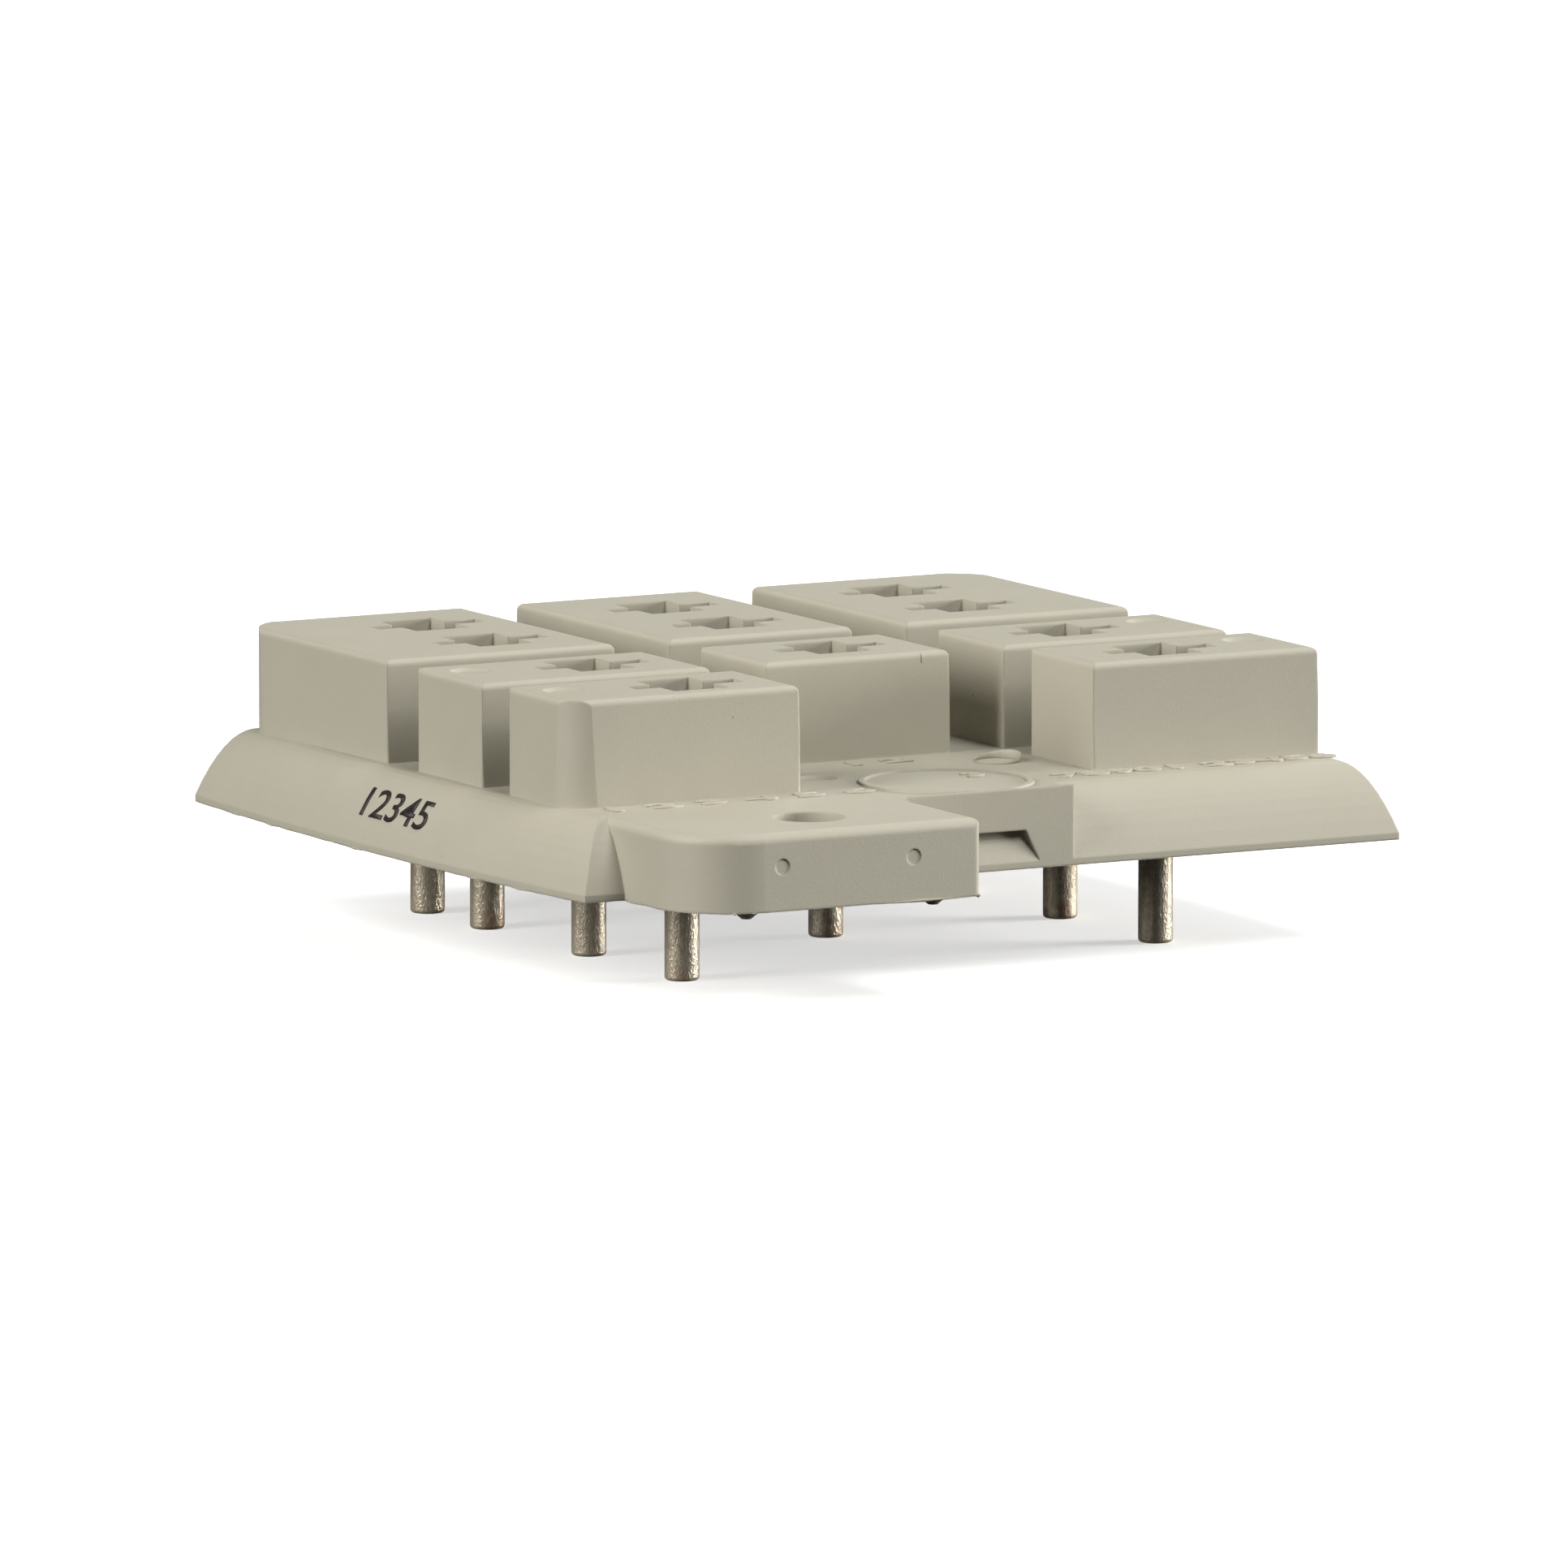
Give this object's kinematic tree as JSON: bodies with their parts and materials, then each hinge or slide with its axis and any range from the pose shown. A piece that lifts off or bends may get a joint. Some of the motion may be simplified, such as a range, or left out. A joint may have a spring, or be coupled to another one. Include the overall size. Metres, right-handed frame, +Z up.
{
  "type": "relay socket",
  "caption": "Low moulded relay socket for a circuit board: slotted towers over spring contacts, round solder pins below, screw ears and retainer notches.",
  "frame": {"origin": "centre of the base plate's underside, the face that sits on the board", "axes": "+Z up towards the relay, -Y towards the coil row and the front ear, +X across the three columns"},
  "size_m": [0.0428, 0.0494, 0.0131],
  "materials": {
    "housing_plastic": "fine matte moulded thermoplastic, warm light grey",
    "contact_spring": "tinned spring bronze sheet",
    "tinned_pin": "drawn wire with a dull tinned skin"
  },
  "bodies": {
    "root": {"housing": "housing_plastic", "clip_l1": "contact_spring", "clip_l2": "contact_spring", "clip_l3": "contact_spring", "clip_l4": "contact_spring", "clip_m1": "contact_spring", "clip_m2": "contact_spring", "clip_m3": "contact_spring", "clip_r1": "contact_spring", "clip_r2": "contact_spring", "clip_r3": "contact_spring", "clip_r4": "contact_spring", "pin_l1": "tinned_pin", "pin_l2": "tinned_pin", "pin_l3": "tinned_pin", "pin_l4": "tinned_pin", "pin_m1": "tinned_pin", "pin_m2": "tinned_pin", "pin_m3": "tinned_pin", "pin_r1": "tinned_pin", "pin_r2": "tinned_pin", "pin_r3": "tinned_pin", "pin_r4": "tinned_pin"}
  },
  "joints": []
}
